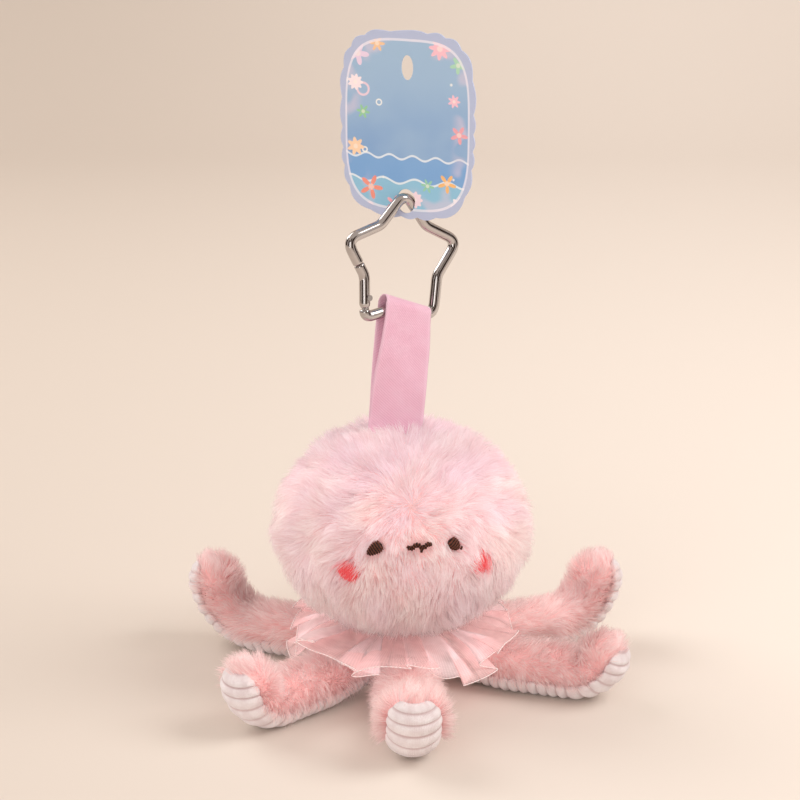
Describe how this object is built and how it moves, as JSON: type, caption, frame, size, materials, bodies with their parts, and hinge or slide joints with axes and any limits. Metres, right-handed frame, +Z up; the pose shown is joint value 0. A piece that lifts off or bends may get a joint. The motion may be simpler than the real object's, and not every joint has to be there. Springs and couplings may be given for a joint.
{
  "type": "plush bag charm",
  "caption": "Small stuffed plush octopus with a gathered ruffle, hanging from a ribbon loop and a star-shaped spring-gate clip.",
  "frame": {"origin": "middle of the underside of the base patch, on the surface that the charm stands on", "axes": "+Z up through the neck and head; the face looks along -Y, turned 7 degrees towards +X; +X is to the viewer's right"},
  "size_m": [0.1676, 0.1704, 0.241],
  "materials": {
    "head_plush": "matte",
    "limb_plush": "matte",
    "corduroy": "matte",
    "base_cloth": "matte",
    "filling": "matte",
    "brown_thread": "satin",
    "coral_thread": "matte",
    "organza": "satin",
    "ribbon": "satin",
    "chromed_wire": "polished",
    "spring_steel": "satin",
    "printed_card": "satin"
  },
  "bodies": {
    "head": {"head_front_panel": "head_plush", "head_back_panel": "head_plush", "head_filling": "filling", "base_patch": "base_cloth", "eye_left": "brown_thread", "eye_right": "brown_thread", "mouth": "brown_thread", "cheek_left": "coral_thread", "cheek_right": "coral_thread", "ruffle": "organza"},
    "tentacle_front": {"tentacle_front_upper": "limb_plush", "tentacle_front_sole": "corduroy", "tentacle_front_filling": "filling"},
    "tentacle_front_right": {"tentacle_front_right_upper": "limb_plush", "tentacle_front_right_sole": "corduroy", "tentacle_front_right_filling": "filling"},
    "tentacle_back_right": {"tentacle_back_right_upper": "limb_plush", "tentacle_back_right_sole": "corduroy", "tentacle_back_right_filling": "filling"},
    "tentacle_back": {"tentacle_back_upper": "limb_plush", "tentacle_back_sole": "corduroy", "tentacle_back_filling": "filling"},
    "tentacle_back_left": {"tentacle_back_left_upper": "limb_plush", "tentacle_back_left_sole": "corduroy", "tentacle_back_left_filling": "filling"},
    "tentacle_front_left": {"tentacle_front_left_upper": "limb_plush", "tentacle_front_left_sole": "corduroy", "tentacle_front_left_filling": "filling"},
    "ribbon": {"ribbon_loop": "ribbon"},
    "clip": {"clip_frame": "chromed_wire", "gate_pin": "chromed_wire"},
    "gate": {"clip_gate": "chromed_wire", "gate_spring": "spring_steel"},
    "tag": {"tag_card": "printed_card"}
  },
  "joints": [
    {"name": "tentacle_front_droop", "type": "hinge", "parent": "head", "child": "tentacle_front", "pos_m": [0.00141, -0.02696, 0.0095], "axis": [0.9986, 0.0523, 0], "range_deg": [-30, 70], "deforming": ["ruffle"]},
    {"name": "tentacle_front_right_droop", "type": "hinge", "parent": "head", "child": "tentacle_front_right", "pos_m": [0.02568, -0.00834, 0.0095], "axis": [0.309, 0.9511, 0], "range_deg": [-30, 70], "deforming": ["ruffle"]},
    {"name": "tentacle_back_right_droop", "type": "hinge", "parent": "head", "child": "tentacle_back_right", "pos_m": [0.02467, 0.01098, 0.0095], "axis": [-0.4067, 0.9135, 0], "range_deg": [-30, 70], "deforming": ["ruffle"]},
    {"name": "tentacle_back_droop", "type": "hinge", "parent": "head", "child": "tentacle_back", "pos_m": [-0.00047, 0.027, 0.0095], "axis": [-0.9998, -0.0175, 0], "range_deg": [-30, 70], "deforming": ["ruffle"]},
    {"name": "tentacle_back_left_droop", "type": "hinge", "parent": "head", "child": "tentacle_back_left", "pos_m": [-0.02485, 0.01055, 0.0095], "axis": [-0.3907, -0.9205, 0], "range_deg": [-30, 70], "deforming": ["ruffle"]},
    {"name": "tentacle_front_left_droop", "type": "hinge", "parent": "head", "child": "tentacle_front_left", "pos_m": [-0.01942, -0.01876, 0.0095], "axis": [0.6947, -0.7193, 0], "range_deg": [-30, 70], "deforming": ["ruffle"]},
    {"name": "ribbon_sway", "type": "hinge", "parent": "head", "child": "ribbon", "pos_m": [-0.0026, 0, 0.09574], "axis": [1, 0, 0], "range_deg": [-75, 75]},
    {"name": "clip_swing", "type": "hinge", "parent": "ribbon", "child": "clip", "pos_m": [0.001, 0.00943, 0.14032], "axis": [0.806, 0.4532, -0.3808], "range_deg": [-75, 75], "deforming": ["ribbon_loop"]},
    {"name": "gate_open", "type": "hinge", "parent": "clip", "child": "gate", "pos_m": [-0.01288, 0.00158, 0.14661], "axis": [-0.5326, 0.836, -0.1323], "range_deg": [0, 30], "stiffness_Nm_per_rad": 0.01, "springref_deg": -11.46},
    {"name": "tag_turn", "type": "hinge", "parent": "clip", "child": "tag", "pos_m": [0.00109, 0.01605, 0.18183], "axis": [0, 0, 1], "range_deg": [-70, 2]}
  ]
}
